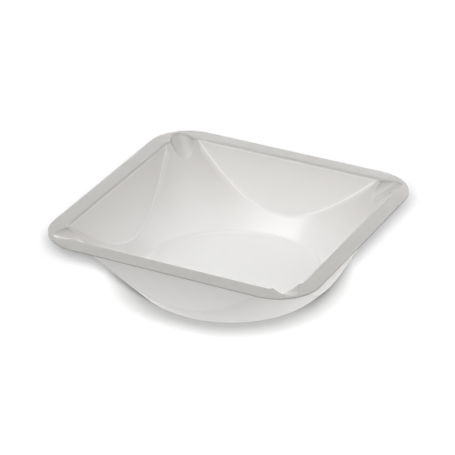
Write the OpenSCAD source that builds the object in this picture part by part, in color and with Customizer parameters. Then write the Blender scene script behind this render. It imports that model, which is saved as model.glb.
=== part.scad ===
// Square weighing boat, vacuum formed from one thin sheet of white plastic.
//
// A flat square rim with rounded corners carries a round bowl with a conical
// side and a flat base. The bowl is wider than the opening in the rim, so four
// nearly upright walls cut across it, and each meets the cone in a curved fold.
// A half-round pouring groove rises out of the bowl into each corner.
//
// The base rests on Z = 0, the bowl turns about the Z axis, and the sides of
// the rim are square to X and Y. All sizes are in millimetres and degrees.

/* [Sheet] */
// Thickness of the sheet
wall = 0.4; // [0.3:0.05:0.6]
// Overall height, from under the base to the top face of the rim
height = 23.6; // [19:0.1:28]

/* [Rim] */
// Width of the boat across the rim, from side to side
rim_w = 89; // [84:0.5:96]
// Radius of the rim's outer corners
rim_corner_r = 13.8; // [10:0.2:17]
// Width of the rim, from its outer edge to the plane of the upright wall
rim_land = 5.5; // [4:0.1:7]
// Radius of the bend from the rim down into the bowl, on the top face
rim_bend_r = 1.2; // [0.8:0.1:1.8]

/* [Upright walls] */
// Lean of the four walls, outward from the vertical
wall_lean = 16.5; // [10:0.5:22]

/* [Bowl] */
// Diameter of the flat base, out to where the cone would meet it, on the inside
base_d = 57.6; // [50:0.2:64]
// Radius of the bend from the base up into the cone, on the inside
base_bend_r = 1.6; // [0.8:0.1:4]
// Distance by which the cone stops short of the opening's square corner
corner_cut = 4.65; // [3:0.05:6]

/* [Pouring grooves] */
// Radius of the half-round groove
groove_r = 4.4; // [3.6:0.1:5.2]
// Slope of the groove's floor, up from the horizontal
groove_slope = 26; // [20:0.5:32]
// Width of rim left between the groove's tip and the outer corner
groove_land = 1.2; // [0.8:0.1:3]

/* [Hidden] */
$fn = 180;

// Slope of the upright walls, and their distance from the axis at rim level
wall_slope = 90 - wall_lean;
wall_reach = rim_w / 2 - rim_land;

// Radius of the cone at rim level, and its slope
cone_reach = wall_reach * sqrt(2) - corner_cut;
cone_slope = atan((height - wall) / (cone_reach - base_d / 2));

// Middle of the bend at the foot of the cone
base_bend_mid = [base_d / 2 - base_bend_r * tan(cone_slope / 2), wall + base_bend_r];

// Distance from the axis to the tip of a groove, in the rim's corner
groove_tip = (rim_w / 2 - rim_corner_r) * sqrt(2) + rim_corner_r - groove_land;

// Length of the groove's floor, from its tip to where it runs out on the cone
groove_run_out = (cone_reach * tan(cone_slope) - groove_tip * tan(groove_slope))
    / (tan(cone_slope) - tan(groove_slope));
groove_len = (groove_tip - groove_run_out) / cos(groove_slope);

// Distance that a cut runs on beyond the rim's top face
clear = 2;

// Depth to which a section's corner is set into the circle of its bend, so
// that the straight side and the circle cross instead of just touching
bite = 0.003;

// The hollow of the boat is drawn twice: as it is, to cut the face that holds
// the sample, and grown by the sheet's thickness, to make the underside. In
// what follows, grow is that growth and top is the height where it ends.

// Middle of the bend from the rim into a side with this slope, which would
// meet the rim's top face at this distance from the axis
function rim_bend_mid(reach, slope) =
    [reach + rim_bend_r * tan(slope / 2), height - rim_bend_r];

// Point on a bend where it runs into a side that slopes up and outwards
function rim_bend_end(reach, slope, grow) =
    rim_bend_mid(reach, slope) + (rim_bend_r - grow - bite) * [-sin(slope), cos(slope)];
function base_bend_end(slope, grow) =
    base_bend_mid + (base_bend_r + grow - bite) * [sin(slope), -cos(slope)];

// Section from the axis out to a sloping side that bends into the rim. The
// points in foot run along its bottom, from the axis outwards.
module bent_section(reach, slope, grow, top, foot) {
    mid = rim_bend_mid(reach, slope);
    difference() {
        polygon(concat(
            [[0, top]],
            foot,
            [rim_bend_end(reach, slope, grow), mid, [mid.x, top]]
        ));
        translate(mid) circle(rim_bend_r - grow);
    }
}

// The round bowl: a flat base, a bend and a cone
module bowl(grow, top) {
    floor_z = wall - grow;
    bend_r = base_bend_r + grow;
    rotate_extrude() {
        bent_section(cone_reach, cone_slope, grow, top, [
            [0, floor_z],
            [base_bend_mid.x, floor_z],
            base_bend_end(cone_slope, grow)
        ]);
        intersection() {
            translate(base_bend_mid) circle(bend_r);
            translate([base_bend_mid.x, floor_z]) square(bend_r);
        }
    }
}

// The space between two opposite upright walls, one on each side of the YZ plane
module between_walls(grow, top) {
    foot_x = wall_reach - height / tan(wall_slope) + grow / sin(wall_slope);
    rotate([90, 0, 0])
        linear_extrude(rim_w, center = true)
            for (side = [0, 1])
                mirror([side, 0])
                    bent_section(wall_reach, wall_slope, grow, top, [[0, 0], [foot_x, 0]]);
}

// One pouring groove, rising along the X axis to its tip in the rim
module groove(grow, top) {
    intersection() {
        translate([groove_tip, 0, height])
            rotate([0, -groove_slope, 0])
                translate([clear, 0, groove_r])
                    rotate([0, -90, 0])
                        cylinder(h = clear + groove_len + groove_r, r = groove_r + grow);
        translate([0, -rim_w / 2, 0]) cube([rim_w, rim_w, top]);
    }
}

// The whole hollow of the boat
module hollow(grow, top) {
    intersection() {
        bowl(grow, top);
        between_walls(grow, top);
        rotate([0, 0, 90]) between_walls(grow, top);
    }
    for (corner = [0 : 3])
        rotate([0, 0, 45 + 90 * corner]) groove(grow, top);
}

// The flat rim, before the hollow is cut through it
module rim_plate() {
    straight = rim_w - 2 * rim_corner_r;
    translate([0, 0, height - wall]) linear_extrude(wall) {
        square([rim_w, straight], center = true);
        square([straight, rim_w], center = true);
        for (x = [-1, 1], y = [-1, 1])
            translate([x, y] * straight / 2) circle(rim_corner_r);
    }
}

module weighing_boat() {
    color("whitesmoke") difference() {
        union() {
            rim_plate();
            hollow(wall, height - wall / 2);
        }
        hollow(0, height + clear);
    }
}

weighing_boat();
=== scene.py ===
"""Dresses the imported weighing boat: the formed plastic sheet, its finish and a plain studio.

The file is laid out as a Blender add-on and is run as a script. Lengths are in
metres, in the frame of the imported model: the base rests on Z = 0, the bowl
turns about Z, and the sides of the rim are square to X and Y.
"""

import math

import bpy
from bpy.props import FloatProperty, FloatVectorProperty, PointerProperty
from mathutils import Matrix, Vector


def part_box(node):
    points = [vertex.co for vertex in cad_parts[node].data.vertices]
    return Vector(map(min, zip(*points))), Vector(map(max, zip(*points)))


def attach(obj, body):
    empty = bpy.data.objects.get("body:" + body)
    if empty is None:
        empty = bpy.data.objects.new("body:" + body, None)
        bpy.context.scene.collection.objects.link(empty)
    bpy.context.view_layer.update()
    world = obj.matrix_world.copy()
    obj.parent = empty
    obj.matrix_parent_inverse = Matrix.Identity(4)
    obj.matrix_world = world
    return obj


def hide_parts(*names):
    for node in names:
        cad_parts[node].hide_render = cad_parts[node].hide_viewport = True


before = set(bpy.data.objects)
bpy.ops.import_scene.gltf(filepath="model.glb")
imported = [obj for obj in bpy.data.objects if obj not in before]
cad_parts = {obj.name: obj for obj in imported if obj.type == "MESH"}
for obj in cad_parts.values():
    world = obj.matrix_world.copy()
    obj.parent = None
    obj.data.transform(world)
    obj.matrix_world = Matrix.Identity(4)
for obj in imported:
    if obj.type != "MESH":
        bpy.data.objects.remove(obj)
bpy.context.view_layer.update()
BOAT_LOW, BOAT_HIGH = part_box("weighing_boat")

bl_info = {
    "name": "Weighing Boat",
    "version": (1, 0, 0),
    "blender": (4, 5, 0),
    "location": "3D View > Sidebar > Weighing Boat",
    "description": "Builds a vacuum-formed weighing boat from its sizes, in a plain studio",
    "category": "Object",
}

MM = 0.001


# ---------------------------------------------------------------------------
# Sizes, finish and studio that a user may change
# ---------------------------------------------------------------------------


def length(name, description, millimetres):
    return FloatProperty(
        name=name, description=description, default=millimetres * MM,
        min=0.0, precision=5, subtype="DISTANCE", unit="LENGTH",
    )


def angle(name, description, degrees):
    return FloatProperty(
        name=name, description=description, default=math.radians(degrees),
        subtype="ANGLE", unit="ROTATION",
    )


def share(name, description, default, top=1.0):
    return FloatProperty(
        name=name, description=description, default=default,
        min=0.0, max=top, subtype="FACTOR",
    )


def tint(name, description, default):
    return FloatVectorProperty(
        name=name, description=description, default=default,
        min=0.0, max=1.0, size=3, subtype="COLOR",
    )


class BoatSizes(bpy.types.PropertyGroup):
    """Sizes of the formed sheet"""

    rim_width: length("Rim width", "Width across the rim", (BOAT_HIGH.x - BOAT_LOW.x) / MM)
    height: length("Height", "From the bench to the top of the rim", BOAT_HIGH.z / MM)
    sheet: length("Sheet", "Thickness of the plastic sheet", 0.4)
    rim_corner_radius: length("Rim corner radius", "Outer corners of the rim", 13.8)
    rim_land: length("Rim land", "From the rim's edge to the plane of the wall", 5.5)
    rim_bend_radius: length("Rim bend radius", "Bend from the rim into the bowl", 0.75)
    wall_lean: angle("Wall lean", "Lean of the four walls from the vertical", 16.5)
    base_diameter: length("Base diameter", "Flat base, to where the cone meets it", 57.6)
    base_bend_radius: length("Base bend radius", "Bend from the base into the cone", 3.0)
    corner_cut: length("Corner cut", "Cone's stop short of the opening's corner", 4.65)
    fold_softness: length("Fold softness", "Depth over which wall and cone blend", 0.75)
    groove_radius: length("Groove radius", "Half-round pouring groove", 4.4)
    groove_slope: angle("Groove slope", "Rise of the groove's floor", 26.0)
    groove_land: length("Groove land", "Rim left beyond the groove's tip", 1.2)
    groove_softness: length("Groove softness", "Depth over which its edges are rounded", 0.15)
    rim_droop: angle("Rim droop", "Fall of the flat rim towards its cut edge", 1.2)


class SheetFinish(bpy.types.PropertyGroup):
    """Finish of the plastic, with its painted light and shade"""

    # Painted light and shade: the rim's grey and the bowl's light colour are shaded and lit
    # copies of one white plastic
    rim_shaded_colour: tint("Rim", "Colour of the sheet at the rim", (0.392, 0.380, 0.366))
    bowl_lit_colour: tint("Bowl", "Colour of the sheet in the bowl", (0.945, 0.926, 0.910))
    edge_colour: tint("Cut edge", "Colour of the cut edge of the rim", (0.40, 0.392, 0.38))
    # Painted light: how much lighter cone and wall are painted below the rim bend
    cone_painted_light: share("Cone painted light", "How much lighter the cone is where it leaves the rim", 0.26)
    wall_painted_light: share("Wall painted light", "How much lighter a wall is where it leaves the rim", 0.62)
    groove_painted_shade: share("Groove painted shade", "How much lighter the sheet is in the grooves", 0.16)
    crease_painted_highlight: share("Crease painted highlight", "How much lighter the sheet is along its folds", 0.9)
    cloudiness: share("Cloudiness", "Unevenness of the plastic's tone", 0.02)
    roughness: share("Roughness", "Satin of the formed faces", 0.25)
    glow_depth: length("Light depth", "How far light runs inside the sheet", 1.2)


class StudioLevels(bpy.types.PropertyGroup):
    """Light of the studio"""

    surround: share("Surround", "Even light from all round", 0.15, 5.0)
    bench: share("Bench", "How white the bench is", 0.66)
    bench_bounce: share("Bench bounce", "How white the bench is in the light it sends up", 0.4)
    bench_white: share("Bench white", "Level of the bench where no shadow falls", 1.04, 1.1)
    # The contact shadow is painted: an occlusion node darkens the bench near the boat's edges
    contact_depth: length("Contact depth", "Reach of the shadow under the boat's edges", 7.3)
    contact_strength: share("Contact strength", "Depth of that shadow", 0.54, 4.0)
    contact_least: share("Contact least", "Light left where that shadow is darkest", 0.45)
    bench_size: length("Bench size", "Width of the bench", 6000.0)


# ---------------------------------------------------------------------------
# Arithmetic in node trees
# ---------------------------------------------------------------------------


class Sum:
    """A number in a node tree; arithmetic on it adds Math nodes."""

    def __init__(self, tree, socket):
        self.tree = tree
        self.socket = socket

    def math(self, operation, *terms):
        node = self.tree.nodes.new("ShaderNodeMath")
        node.operation = operation
        for slot, term in zip(node.inputs, terms):
            if isinstance(term, Sum):
                self.tree.links.new(term.socket, slot)
            else:
                slot.default_value = term
        return Sum(self.tree, node.outputs[0])

    def __add__(self, other):
        return self.math("ADD", self, other)

    def __sub__(self, other):
        return self.math("SUBTRACT", self, other)

    def __rsub__(self, other):
        return self.math("SUBTRACT", other, self)

    def __mul__(self, other):
        return self.math("MULTIPLY", self, other)

    def __truediv__(self, other):
        return self.math("DIVIDE", self, other)

    def root(self):
        return self.math("SQRT", self)

    def sin(self):
        return self.math("SINE", self)

    def cos(self):
        return self.math("COSINE", self)

    def tan(self):
        return self.math("TANGENT", self)

    def angle(self):
        """The angle that has this tangent."""
        return self.math("ARCTANGENT", self)

    def size(self):
        return self.math("ABSOLUTE", self)

    def whole(self):
        return self.math("FLOOR", self)

    def least(self, other):
        return self.math("MINIMUM", self, other)

    def most(self, other):
        return self.math("MAXIMUM", self, other)

    def within(self, low, high):
        return self.most(low).least(high)

    def power(self, other):
        return self.math("POWER", self, other)

    def over(self, other):
        return self.math("GREATER_THAN", self, other)

    def to(self, other, part):
        """This number, moved towards the other by this part of the way."""
        return self + (other - self) * part

    def ease(self, start, end):
        """0 up to start, 1 from end, and a soft step between."""
        part = ((self - start) / (end - start)).within(0.0, 1.0)
        return part * part * (3.0 - part * 2.0)


def soft_most(one, other, softness):
    """The larger of two heights, with the edge between them rounded."""
    near = (softness - (one - other).size()).most(0.0)
    return one.most(other) + near * near / (softness * 4.0)


def soft_least(one, other, softness):
    """The smaller of two heights, with the edge between them rounded."""
    near = (softness - (one - other).size()).most(0.0)
    return one.least(other) - near * near / (softness * 4.0)


def new_tree(name, kind, sockets):
    """A node tree, its input node and its output node. Sockets: name, type and default."""
    tree = bpy.data.node_groups.new(name, kind)
    for socket_name, socket_type, default in sockets:
        socket = tree.interface.new_socket(socket_name, in_out="INPUT", socket_type=socket_type)
        if default is not None:
            socket.default_value = default
    return tree, tree.nodes.new("NodeGroupInput"), tree.nodes.new("NodeGroupOutput")


# ---------------------------------------------------------------------------
# The formed sheet
# ---------------------------------------------------------------------------

# Columns of faces round the boat
COLUMNS = 592
# Share of the columns that is spread evenly between the corners, and the
# direction off the middle of a wall where the closer columns begin
EVEN_COLUMNS = 0.46
CORNER_START = math.radians(37.0)
# Direction off the middle of a wall where the groove's side is never reached
GROOVE_FROM = math.radians(40.0)
# Rings of faces between the stations of the sheet, from the middle outwards:
# base, base bend, cone, fold, wall or groove, rim bend, rim
RINGS = (5, 7, 8, 12, 24, 14, 7)
# Half of the narrow band of close rings along a fold or a groove's edge
BAND_HALF = 0.35 * MM
# Depth below the rim over which the folds come in, and the least of that fade,
# which keeps what is divided by it above zero
FOLD_FADE = 1.5 * MM
FOLD_FADE_LEAST = 0.001
# Places along Y, front to back, between which the painted highlight along a fold comes in
CREASE_FADE = (-25.0 * MM, 5.0 * MM)
# A groove's round floor is followed out to this share of its radius, and from
# there its side rises this steeply
GROOVE_SIDE = 0.985
GROOVE_STEEP = 6.0
# Distance inwards from the cone's radius at the rim, at which a groove's floor
# stops falling
GROOVE_STOP = 10.0 * MM
# Depth below the bowl at which a place counts as wholly in the groove, for its painted shade
GROOVE_MARK = 0.4 * MM
# Rounds of closing in on the places where a groove meets the cone and the rim
GROOVE_ROUNDS = 8
# Corners closer than this become one
WELD = 0.002 * MM

SHEET_SIZES = (
    ("Rim width", "rim_width"), ("Height", "height"), ("Sheet", "sheet"),
    ("Rim corner radius", "rim_corner_radius"), ("Rim land", "rim_land"),
    ("Rim bend radius", "rim_bend_radius"), ("Wall lean", "wall_lean"),
    ("Base diameter", "base_diameter"), ("Base bend radius", "base_bend_radius"),
    ("Corner cut", "corner_cut"), ("Fold softness", "fold_softness"),
    ("Groove radius", "groove_radius"), ("Groove slope", "groove_slope"),
    ("Groove land", "groove_land"), ("Groove softness", "groove_softness"),
    ("Rim droop", "rim_droop"),
)


def bent_side(distance, reach, slope, bend_radius, top):
    """Height of a side that slopes up to this reach and bends into the rim there."""
    bend_mid = reach + bend_radius * (slope * 0.5).tan()
    bend_width = bend_radius * slope.sin()
    inside = (bend_mid - distance).within(0.0, bend_width)
    arc = (bend_radius * bend_radius - inside * inside).most(0.0).root()
    below = (bend_mid - bend_width - distance).most(0.0) * slope.tan()
    return top - bend_radius + arc - below


def sheet_tree(sizes):
    """Geometry Nodes tree of the sheet's top face, as one skin."""
    sockets = [("Geometry", "NodeSocketGeometry", None)]
    for name, prop in SHEET_SIZES:
        sockets.append((name, "NodeSocketFloat", getattr(sizes, prop)))
    sockets += [
        ("Columns", "NodeSocketInt", COLUMNS),
        ("Rings", "NodeSocketInt", sum(RINGS)),
        ("Plastic", "NodeSocketMaterial", None),
    ]
    tree, given, result = new_tree("boat_sheet_form", "GeometryNodeTree", sockets)
    tree.interface.new_socket("Geometry", in_out="OUTPUT", socket_type="NodeSocketGeometry")
    new, link = tree.nodes.new, tree.links.new

    def size(name):
        return Sum(tree, given.outputs[name])

    rim_width, height, sheet = size("Rim width"), size("Height"), size("Sheet")
    corner_radius, bend_radius = size("Rim corner radius"), size("Rim bend radius")
    groove_radius, groove_slope = size("Groove radius"), size("Groove slope")

    grid = new("GeometryNodeMeshGrid")
    grid.inputs["Size X"].default_value = 1.0
    grid.inputs["Size Y"].default_value = 1.0
    link((size("Columns") + 1.0).socket, grid.inputs["Vertices X"])
    link((size("Rings") + 1.0).socket, grid.inputs["Vertices Y"])

    place = new("ShaderNodeSeparateXYZ")
    link(new("GeometryNodeInputPosition").outputs[0], place.inputs[0])
    round_part = Sum(tree, place.outputs["X"]) + 0.5
    out_part = Sum(tree, place.outputs["Y"]) + 0.5

    # Direction: four quarters, each turned from the middle of a wall, with the
    # columns drawn closer together in the corners
    quarter = (round_part * 4.0).whole()
    across = (round_part * 4.0 - quarter) * 2.0 - 1.0
    part = across.size()
    folded = (
        part.least(EVEN_COLUMNS) * (CORNER_START / EVEN_COLUMNS)
        + (part - EVEN_COLUMNS).most(0.0) * ((math.pi / 4 - CORNER_START) / (1.0 - EVEN_COLUMNS))
    )
    direction = folded * across.math("SIGN", across) + quarter * (math.pi / 2)
    along, aside = folded.cos(), folded.sin()

    # Cone, walls and rim
    wall_slope = math.pi / 2 - size("Wall lean")
    wall_reach = rim_width * 0.5 - size("Rim land")
    cone_reach = wall_reach * math.sqrt(2) - size("Corner cut")
    base_radius = size("Base diameter") * 0.5
    cone_slope = ((height - sheet) / (cone_reach - base_radius)).angle()
    base_bend = size("Base bend radius")
    base_bend_mid = base_radius - base_bend * (cone_slope * 0.5).tan()
    base_bend_width = base_bend * cone_slope.sin()

    # Where the wall crosses the cone, and where the groove crosses cone and rim
    fold = (
        (wall_reach * wall_slope.tan() - cone_reach * cone_slope.tan())
        / (along * wall_slope.tan() - cone_slope.tan())
    )
    straight = rim_width * 0.5 - corner_radius
    groove_tip = straight * math.sqrt(2) + corner_radius - size("Groove land")
    down_diagonal, off_diagonal = (along + aside) / math.sqrt(2), (along - aside) / math.sqrt(2)

    def groove_rise(radius):
        off = (off_diagonal * radius).least(groove_radius * GROOVE_SIDE)
        round_rise = groove_radius - (groove_radius * groove_radius - off * off).root()
        return round_rise / groove_slope.cos()

    groove_start = groove_end = cone_reach
    for _ in range(GROOVE_ROUNDS):
        groove_start = (
            cone_reach * cone_slope.tan() - groove_tip * groove_slope.tan()
            + groove_rise(groove_start)
        ) / (cone_slope.tan() - down_diagonal * groove_slope.tan())
        groove_end = (groove_tip - groove_rise(groove_end) / groove_slope.tan()) / down_diagonal
    groove_end = groove_end * folded.over(GROOVE_FROM)

    # Stations of the rings in this direction
    def bend_place(reach, slope):
        mid = reach + bend_radius * (slope * 0.5).tan()
        return mid - bend_radius * slope.sin(), mid

    wall_foot, wall_bend_mid = bend_place(wall_reach, wall_slope)
    cone_end, cone_bend_mid = bend_place(cone_reach, cone_slope)
    band = fold.least(cone_end).least(groove_start)
    opening = (wall_bend_mid / along).least(cone_bend_mid)
    bend_in = (wall_foot / along).least(cone_end).most(groove_end - BAND_HALF)
    bend_out = opening.most(groove_end + BAND_HALF)
    side_edge = rim_width * 0.5 / along
    toward = (along + aside) * straight
    corner_edge = toward + (
        toward * toward - straight * straight * 2.0 + corner_radius * corner_radius
    ).most(0.0).root()
    edge = side_edge.to(corner_edge, (aside * side_edge - straight).over(0.0))
    stations = [
        base_bend_mid * 0.0, base_bend_mid, base_bend_mid + base_bend_width,
        band - BAND_HALF, (band + BAND_HALF).least(bend_in), bend_in, bend_out, edge,
    ]
    radius, before = stations[0], 0
    for k, count in enumerate(RINGS):
        start, end = before / sum(RINGS), (before + count) / sum(RINGS)
        gone = ((out_part - start) / (end - start)).within(0.0, 1.0)
        radius = radius + (stations[k + 1] - stations[k]) * gone
        before += count

    # Height: the deepest of cone and wall, cut by the groove
    cone = bent_side(radius, cone_reach, cone_slope, bend_radius, height)
    inside = (radius - base_bend_mid).within(0.0, base_bend_width)
    base = sheet + base_bend - (base_bend * base_bend - inside * inside).root()
    bowl = cone.most(base)
    wall = bent_side(radius * along, wall_reach, wall_slope, bend_radius, height)
    fade = ((height - bowl.most(wall)) / FOLD_FADE).within(FOLD_FADE_LEAST, 1.0)
    fold_softness = size("Fold softness") * fade
    hollow = soft_most(bowl, wall, fold_softness)
    # Mask of the painted highlight along the fold, faded in towards the back
    crease = (1.0 - (bowl - wall).size() / fold_softness).most(0.0) * fade
    crease = crease * (radius * direction.sin()).ease(*CREASE_FADE)

    down_groove = groove_tip - (down_diagonal * radius).most(cone_reach - GROOVE_STOP)
    steep_rise = (off_diagonal * radius - groove_radius * GROOVE_SIDE).most(0.0) * GROOVE_STEEP
    groove = height - down_groove * groove_slope.tan() + groove_rise(radius) + steep_rise
    # The flat rim falls a little towards its edge, from where the bend ends
    hollow = hollow - (radius - opening).most(0.0) * along * size("Rim droop").tan()
    top_face = soft_least(hollow, groove, size("Groove softness"))

    spot = new("ShaderNodeCombineXYZ")
    link((radius * direction.cos()).socket, spot.inputs["X"])
    link((radius * direction.sin()).socket, spot.inputs["Y"])
    link(top_face.socket, spot.inputs["Z"])
    shape = new("GeometryNodeSetPosition")
    link(spot.outputs[0], shape.inputs["Position"])
    # Masks for the painted light of the finish: the fold's highlight, the wall's share and the
    # groove's shade
    marks = (
        ("crease", crease),
        ("wall_part", ((wall - bowl) / (fold_softness * 2.0) + 0.5).within(0.0, 1.0)),
        ("groove_part", ((hollow - groove) / GROOVE_MARK).within(0.0, 1.0)),
    )
    skin = grid.outputs["Mesh"]
    for mark, value in marks:
        marked = new("GeometryNodeStoreNamedAttribute")
        marked.data_type, marked.domain = "FLOAT", "POINT"
        marked.inputs["Name"].default_value = mark
        link(skin, marked.inputs["Geometry"])
        link(value.socket, marked.inputs["Value"])
        skin = marked.outputs[0]
    link(skin, shape.inputs["Geometry"])
    closed = new("GeometryNodeMergeByDistance")
    closed.inputs["Distance"].default_value = WELD
    link(shape.outputs[0], closed.inputs["Geometry"])
    upward = new("GeometryNodeFlipFaces")
    link(closed.outputs[0], upward.inputs["Mesh"])
    real = new("GeometryNodeRealizeInstances")
    link(upward.outputs[0], real.inputs["Geometry"])
    finish = new("GeometryNodeSetMaterial")
    link(real.outputs[0], finish.inputs["Geometry"])
    link(given.outputs["Plastic"], finish.inputs["Material"])
    link(finish.outputs[0], result.inputs["Geometry"])
    return tree


def set_inputs(modifier, tree, values):
    """Sets a Geometry Nodes modifier's inputs by the identifiers of their sockets."""
    identifiers = {
        item.name: item.identifier
        for item in tree.interface.items_tree
        if item.item_type == "SOCKET" and item.in_out == "INPUT"
    }
    for name, value in values.items():
        modifier[identifiers[name]] = value


# ---------------------------------------------------------------------------
# Finish of the sheet
# ---------------------------------------------------------------------------

# The plastic's tone goes from 0, the rim's colour, to 1, the bowl's. The tone is painted
# light: lighter down the bowl and on the base, where light bounces in the bowl and
# shines through the thin sheet, and greyer at the rim. Depths are taken below the top
# of the rim.

# Depths between which the rim's tone gives way to that of cone, wall or groove
RIM_BEND_DEPTHS = (0.05 * MM, 0.75 * MM)
# Rise of the painted light down the bowl, the power of the depth that it follows, and
# what the flat base adds
BOWL_TONE = 0.78
BOWL_POWER = 1.2
BASE_TONE = 0.21
# Heights above the base's top face between which its painted light comes in
BASE_TONE_HEIGHTS = (0.40 * MM, 0.03 * MM)
# Painted highlight, a lighter line where a wall leaves the rim bend: its depth, half width and
# strength
BEND_LINE_DEPTH = 0.62 * MM
BEND_LINE_HALF = 0.4 * MM
BEND_LINE_SHARE = 0.3
# Depth at which the groove's painted shade is gone
GROOVE_TONE_DEPTH = 4.5 * MM
# Limits of the tone; the painted highlight of a fold goes up to the higher one
TONE_LOW, TONE_HIGH = -0.5, 1.15
# Share of the cloudiness that shows in the roughness
CLOUD_ROUGHNESS = 0.04
# Fine grain: how strongly it shows, and its height
GRAIN_STRENGTH = 0.3
GRAIN_HEIGHT = 0.004 * MM
PLASTIC_IOR = 1.5
EDGE_ROUGHNESS = 0.55
# Angle between faces from which an edge is shown sharp
SHARP_ANGLE = math.radians(50.0)


def grain_group():
    """Shader group of the fine grain and the faint cloudiness of formed sheet."""
    tree, given, result = new_tree("sheet_grain", "ShaderNodeTree", [
        ("Vector", "NodeSocketVector", None),
        ("Grain Scale", "NodeSocketFloat", 3500.0),
        ("Cloud Scale", "NodeSocketFloat", 120.0),
    ])
    for name in ("Grain", "Cloud"):
        tree.interface.new_socket(name, in_out="OUTPUT", socket_type="NodeSocketFloat")
    for name, detail in (("Grain", 3.0), ("Cloud", 2.0)):
        noise = tree.nodes.new("ShaderNodeTexNoise")
        noise.inputs["Detail"].default_value = detail
        tree.links.new(given.outputs["Vector"], noise.inputs["Vector"])
        tree.links.new(given.outputs[name + " Scale"], noise.inputs["Scale"])
        tree.links.new(noise.outputs["Fac"], result.inputs[name])
    return tree


def plastic(sizes, finish):
    """Satin plastic with painted light: greyer rim, lighter bowl and base, painted highlights on
    folds, painted shade in grooves.
    """
    material = bpy.data.materials.new("formed_plastic")
    material.use_nodes = True
    tree = material.node_tree
    new, link = tree.nodes.new, tree.links.new
    shader = tree.nodes["Principled BSDF"]
    place = new("ShaderNodeTexCoord").outputs["Object"]
    surface = new("ShaderNodeGroup")
    surface.node_tree = grain_group()
    link(place, surface.inputs["Vector"])
    parts = new("ShaderNodeSeparateXYZ")
    link(place, parts.inputs[0])
    depth = sizes.height - Sum(tree, parts.outputs["Z"])
    down = (depth / sizes.height).within(0.0, 1.0)

    def mark(name):
        node = new("ShaderNodeAttribute")
        node.attribute_name = name
        return Sum(tree, node.outputs["Fac"])

    past_bend = depth.ease(*RIM_BEND_DEPTHS)
    first = mark("wall_part") * (finish.wall_painted_light - finish.cone_painted_light) + finish.cone_painted_light
    base_depth = sizes.height - sizes.sheet
    on_base = depth.ease(*(base_depth - above for above in BASE_TONE_HEIGHTS))
    low = down.power(BOWL_POWER) * BOWL_TONE + on_base * BASE_TONE
    painted_tone = past_bend * first + low * (1.0 - first)
    # Painted highlights: the line below the wall's rim bend, and the line along the folds
    bend_highlight = (1.0 - (depth - BEND_LINE_DEPTH).size() / BEND_LINE_HALF).most(0.0)
    line = mark("crease").most(bend_highlight * mark("wall_part") * BEND_LINE_SHARE)
    painted_tone = painted_tone.to(TONE_HIGH, line * finish.crease_painted_highlight)
    # Painted shade: the grooves keep close to the rim's grey, which also hides the glints on
    # their bends
    in_groove = mark("groove_part") * (1.0 - depth / GROOVE_TONE_DEPTH).most(0.0)
    painted_tone = painted_tone.to(past_bend * finish.groove_painted_shade, in_groove)
    cloud = Sum(tree, surface.outputs["Cloud"]) - 0.5
    tone = new("ShaderNodeMix")
    tone.data_type = "RGBA"
    tone.clamp_factor = False
    tone.inputs["A"].default_value = (*finish.rim_shaded_colour, 1.0)
    tone.inputs["B"].default_value = (*finish.bowl_lit_colour, 1.0)
    toned = (painted_tone + cloud * finish.cloudiness).within(TONE_LOW, TONE_HIGH)
    link(toned.socket, tone.inputs["Factor"])
    link(tone.outputs["Result"], shader.inputs["Base Color"])
    link((cloud * CLOUD_ROUGHNESS + finish.roughness).socket, shader.inputs["Roughness"])
    bump = new("ShaderNodeBump")
    bump.inputs["Strength"].default_value = GRAIN_STRENGTH
    bump.inputs["Distance"].default_value = GRAIN_HEIGHT
    link(surface.outputs["Grain"], bump.inputs["Height"])
    link(bump.outputs[0], shader.inputs["Normal"])
    shader.inputs["IOR"].default_value = PLASTIC_IOR
    shader.inputs["Subsurface Weight"].default_value = 1.0
    shader.inputs["Subsurface Radius"].default_value = (1.0, 1.0, 1.0)
    shader.inputs["Subsurface Scale"].default_value = finish.glow_depth
    return material


def cut_edge(finish):
    """The sheared edge of the sheet, which lets no light run inside it."""
    material = bpy.data.materials.new("cut_edge")
    material.use_nodes = True
    shader = material.node_tree.nodes["Principled BSDF"]
    shader.inputs["Base Color"].default_value = (*finish.edge_colour, 1.0)
    shader.inputs["Roughness"].default_value = EDGE_ROUGHNESS
    return material


class WEIGHBOAT_OT_sheet(bpy.types.Operator):
    """Form the boat's plastic sheet"""

    bl_idname = "weighboat.sheet"
    bl_label = "Formed Sheet"

    def execute(self, context):
        sizes, finish = context.scene.boat_sizes, context.scene.sheet_finish
        sheet, edge = plastic(sizes, finish), cut_edge(finish)
        tree = sheet_tree(sizes)
        start = bpy.data.objects.new("forming", bpy.data.meshes.new("forming"))
        # Set Material gives the faces the second slot, and Solidify gives the cut
        # edge the third, but only where the start has that many
        for material in (sheet, sheet, edge):
            start.data.materials.append(material)
        context.scene.collection.objects.link(start)
        form = start.modifiers.new("Form", "NODES")
        form.node_group = tree
        values = {name: getattr(sizes, prop) for name, prop in SHEET_SIZES}
        values.update({"Columns": COLUMNS, "Rings": sum(RINGS), "Plastic": sheet})
        set_inputs(form, tree, values)
        thick = start.modifiers.new("Thickness", "SOLIDIFY")
        thick.thickness = sizes.sheet
        thick.offset = -1.0
        thick.use_even_offset = True
        thick.use_quality_normals = True
        thick.material_offset_rim = 1
        context.view_layer.update()
        grown = start.evaluated_get(context.evaluated_depsgraph_get())
        mesh = bpy.data.meshes.new_from_object(grown)
        mesh.name = "weighing_boat_sheet"
        # Set Material leaves an empty slot before its own. With that slot taken
        # out, the faces are in the first slot and the cut edge is in the second.
        mesh.materials.pop(index=0)
        mesh.materials.append(edge)
        bpy.data.objects.remove(start)
        boat = bpy.data.objects.new("weighing_boat_sheet", mesh)
        context.scene.collection.objects.link(boat)
        mesh.shade_smooth()
        mesh.set_sharp_from_angle(angle=SHARP_ANGLE)
        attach(boat, "root")
        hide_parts("weighing_boat")
        return {"FINISHED"}


# ---------------------------------------------------------------------------
# Studio
# ---------------------------------------------------------------------------

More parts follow.
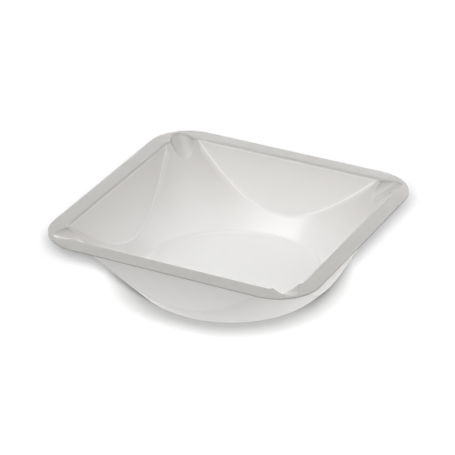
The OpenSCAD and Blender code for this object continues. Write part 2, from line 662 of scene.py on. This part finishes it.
# Lamps: name, direction round the boat and above the bench in degrees, distance,
# width and height, and light on a face square to the lamp. The first set lights
# the boat alone, and the second lights the bench alone and makes its shadow.
BOAT_LAMPS = (
    ("key", -50.0, 54.0, 0.8, 0.36, 0.56, 0.285),
    ("front_strip", -22.0, 51.0, 0.8, 1.1, 0.5, 0.475),
    ("right_fill", 75.0, 41.0, 0.8, 0.4, 0.55, 0.175),
    ("right_back", 130.0, 46.0, 0.8, 0.5, 0.5, 0.174),
    ("low_back", -160.0, 13.0, 0.8, 0.6, 0.3, 0.204),
    ("mid_back", 180.0, 30.0, 0.8, 0.5, 0.3, 0.06),
    ("overhead", -110.0, 82.0, 0.8, 0.4, 0.4, 0.14),
)
BENCH_LAMPS = (
    ("front", 26.2, 31.0, 0.8, 0.13, 0.1, 2.15),
    ("side", 56.0, 48.0, 0.8, 0.05, 0.17, 0.114),
)
# Point that the lamps stand round and are turned to
LAMP_TARGET = Vector((0.0, 0.0, 0.012))
# The bench lies this much lower than the base, so that the two don't share a plane
BENCH_GAP = 0.05 * MM
# How much of the painted contact shadow the viewer sees, and how much reflections show
CONTACT_SEEN, CONTACT_REFLECTED = 1.0, 0.35

# Camera: its place, the directions to its right, downwards and forward, its
# lens in millimetres and how near and far it sees
CAMERA_PLACE = (0.310259, -0.618505, 0.384879)
CAMERA_RIGHT = Vector((0.892434, 0.451169, 0.002907))
CAMERA_DOWN = Vector((0.213983, -0.417579, -0.883085))
CAMERA_FORWARD = Vector((-0.397207, 0.788717, -0.469204))
CAMERA_LENS = 202.55
CAMERA_NEAR, CAMERA_FAR = 0.05, 20.0


def lamp_place(azimuth, elevation, distance):
    """Place of a lamp, and the direction back to it from the boat."""
    around, up = math.radians(azimuth), math.radians(elevation)
    level = math.cos(up)
    back = Vector((math.sin(around) * level, -math.cos(around) * level, math.sin(up)))
    return LAMP_TARGET + back * distance, back


def lamp(name, azimuth, elevation, distance, width, height, level, lit):
    """A soft lamp that lights the objects in one collection and isn't seen itself."""
    data = bpy.data.lights.new(name, "AREA")
    data.shape = "RECTANGLE"
    data.size, data.size_y = width, height
    data.energy = level * (math.pi * distance) ** 2
    one = bpy.data.objects.new(name, data)
    one.location, back = lamp_place(azimuth, elevation, distance)
    one.rotation_mode = "QUATERNION"
    one.rotation_quaternion = back.to_track_quat("Z", "Y")
    one.visible_camera = False
    one.light_linking.receiver_collection = lit
    bpy.context.scene.collection.objects.link(one)


def ray_kinds(tree):
    """1 for the viewer's own rays, and 1 for those and the reflected and passed-on ones."""
    path = tree.nodes.new("ShaderNodeLightPath")
    kinds = ("Is Camera Ray", "Is Glossy Ray", "Is Transmission Ray")
    viewed, reflected, passed_on = (Sum(tree, path.outputs[kind]) for kind in kinds)
    return viewed, viewed.most(reflected).most(passed_on)


def lamp_share(tree, albedo, azimuth, elevation, distance, level):
    """Light that one lamp alone would send back from each place on an empty bench."""
    spot, back = lamp_place(azimuth, elevation, distance)

    def vector(operation, one, other):
        node = tree.nodes.new("ShaderNodeVectorMath")
        node.operation = operation
        for slot, term in zip(node.inputs, (one, other)):
            if isinstance(term, bpy.types.NodeSocket):
                tree.links.new(term, slot)
            else:
                slot.default_value = term
        return node

    here = tree.nodes.new("ShaderNodeTexCoord").outputs["Object"]
    toward = vector("SUBTRACT", tuple(spot), here).outputs["Vector"]
    facing = Sum(tree, vector("DOT_PRODUCT", toward, tuple(back)).outputs["Value"])
    square = Sum(tree, vector("DOT_PRODUCT", toward, toward).outputs["Value"])
    return facing / (square * square) * (albedo * level * distance * distance * spot.z)


def bench_paint(levels):
    """White that takes a soft shadow and is evenly white where none falls, with a painted
    contact shadow near the boat's edges.

    What the viewer and reflections see is set apart from what the bench sends
    up at the boat. The glow makes up what the bench lamps lose with distance.
    """
    material = bpy.data.materials.new("bench")
    material.use_nodes = True
    tree = material.node_tree
    shader = tree.nodes["Principled BSDF"]
    shader.inputs["Roughness"].default_value = 1.0
    shader.inputs["Specular IOR Level"].default_value = 0.0
    shader.inputs["Emission Color"].default_value = (1.0, 1.0, 1.0, 1.0)
    # Painted contact shadow: ambient occlusion darkens the bench's colour and glow near the boat
    occlusion = tree.nodes.new("ShaderNodeAmbientOcclusion")
    occlusion.inputs["Distance"].default_value = levels.contact_depth
    open_air = Sum(tree, occlusion.outputs["AO"]).power(levels.contact_strength)
    open_air = open_air.most(levels.contact_least)
    viewed, seen = ray_kinds(tree)
    contact = viewed * (CONTACT_SEEN - CONTACT_REFLECTED) + seen * CONTACT_REFLECTED
    shade = 1.0 - contact * (1.0 - open_air)
    level = (1.0 - seen) * levels.bench_bounce + seen * shade * levels.bench
    paint = tree.nodes.new("ShaderNodeCombineColor")
    for channel in paint.inputs:
        tree.links.new(level.socket, channel)
    tree.links.new(paint.outputs[0], shader.inputs["Base Color"])
    glow = levels.bench_white - levels.bench * levels.surround
    for _, azimuth, elevation, distance, _, _, strength in BENCH_LAMPS:
        glow = glow - lamp_share(tree, levels.bench, azimuth, elevation, distance, strength)
    glow = glow.most(0.0)
    tree.links.new((seen * glow * shade).socket, shader.inputs["Emission Strength"])
    return material


def bench_top(levels):
    """A wide flat bench under the boat."""
    mesh = bpy.data.meshes.new("bench")
    half = levels.bench_size / 2
    corners = [(x * half, y * half, -BENCH_GAP) for x, y in ((-1, -1), (1, -1), (1, 1), (-1, 1))]
    mesh.from_pydata(corners, [], [(0, 1, 2, 3)])
    mesh.materials.append(bench_paint(levels))
    return bpy.data.objects.new("bench", mesh)


class WEIGHBOAT_OT_stage(bpy.types.Operator):
    """Set up the bench, the lamps and the camera"""

    bl_idname = "weighboat.stage"
    bl_label = "Studio"

    def execute(self, context):
        scene, levels = context.scene, context.scene.studio_levels
        bench = bench_top(levels)
        scene.collection.objects.link(bench)

        world = bpy.data.worlds.new("surround")
        scene.world = world
        world.use_nodes = True
        air = world.node_tree.nodes["Background"]
        air.inputs["Color"].default_value = (1.0, 1.0, 1.0, 1.0)
        # Plain white where it is seen, and only this faint as a light
        _, seen = ray_kinds(world.node_tree)
        level = seen * (1.0 - levels.surround) + levels.surround
        world.node_tree.links.new(level.socket, air.inputs["Strength"])

        lit_sets = (
            ("lit_boat", bpy.data.objects["weighing_boat_sheet"], BOAT_LAMPS),
            ("lit_bench", bench, BENCH_LAMPS),
        )
        for name, target, lamps in lit_sets:
            lit = bpy.data.collections.new(name)
            lit.objects.link(target)
            for settings in lamps:
                lamp(*settings, lit)

        camera = bpy.data.objects.new("viewer", bpy.data.cameras.new("viewer"))
        turn = Matrix((CAMERA_RIGHT, -CAMERA_DOWN, -CAMERA_FORWARD)).transposed()
        camera.matrix_world = Matrix.Translation(CAMERA_PLACE) @ turn.to_4x4()
        camera.data.lens = CAMERA_LENS
        camera.data.clip_start, camera.data.clip_end = CAMERA_NEAR, CAMERA_FAR
        scene.collection.objects.link(camera)
        scene.camera = camera
        scene.view_settings.view_transform = "Standard"
        return {"FINISHED"}


class VIEW3D_PT_weighing_boat(bpy.types.Panel):
    """Sizes, finish and studio of the weighing boat"""

    bl_label = "Weighing Boat"
    bl_idname = "VIEW3D_PT_weighing_boat"
    bl_space_type = "VIEW_3D"
    bl_region_type = "UI"
    bl_category = "Weighing Boat"

    def draw(self, context):
        for group in GROUPS:
            box = self.layout.box()
            for prop in getattr(group, "__annotations__"):
                box.prop(getattr(context.scene, GROUPS[group]), prop)
        for operator in OPERATORS:
            self.layout.operator(operator.bl_idname)


GROUPS = {BoatSizes: "boat_sizes", SheetFinish: "sheet_finish", StudioLevels: "studio_levels"}
OPERATORS = (WEIGHBOAT_OT_sheet, WEIGHBOAT_OT_stage)
CLASSES = (*GROUPS, *OPERATORS, VIEW3D_PT_weighing_boat)


def register():
    for one in CLASSES:
        bpy.utils.register_class(one)
    for group, name in GROUPS.items():
        setattr(bpy.types.Scene, name, PointerProperty(type=group))


def unregister():
    for name in GROUPS.values():
        delattr(bpy.types.Scene, name)
    for one in reversed(CLASSES):
        bpy.utils.unregister_class(one)


def main():
    register()
    bpy.ops.weighboat.sheet()
    bpy.ops.weighboat.stage()


if __name__ == "__main__":
    main()
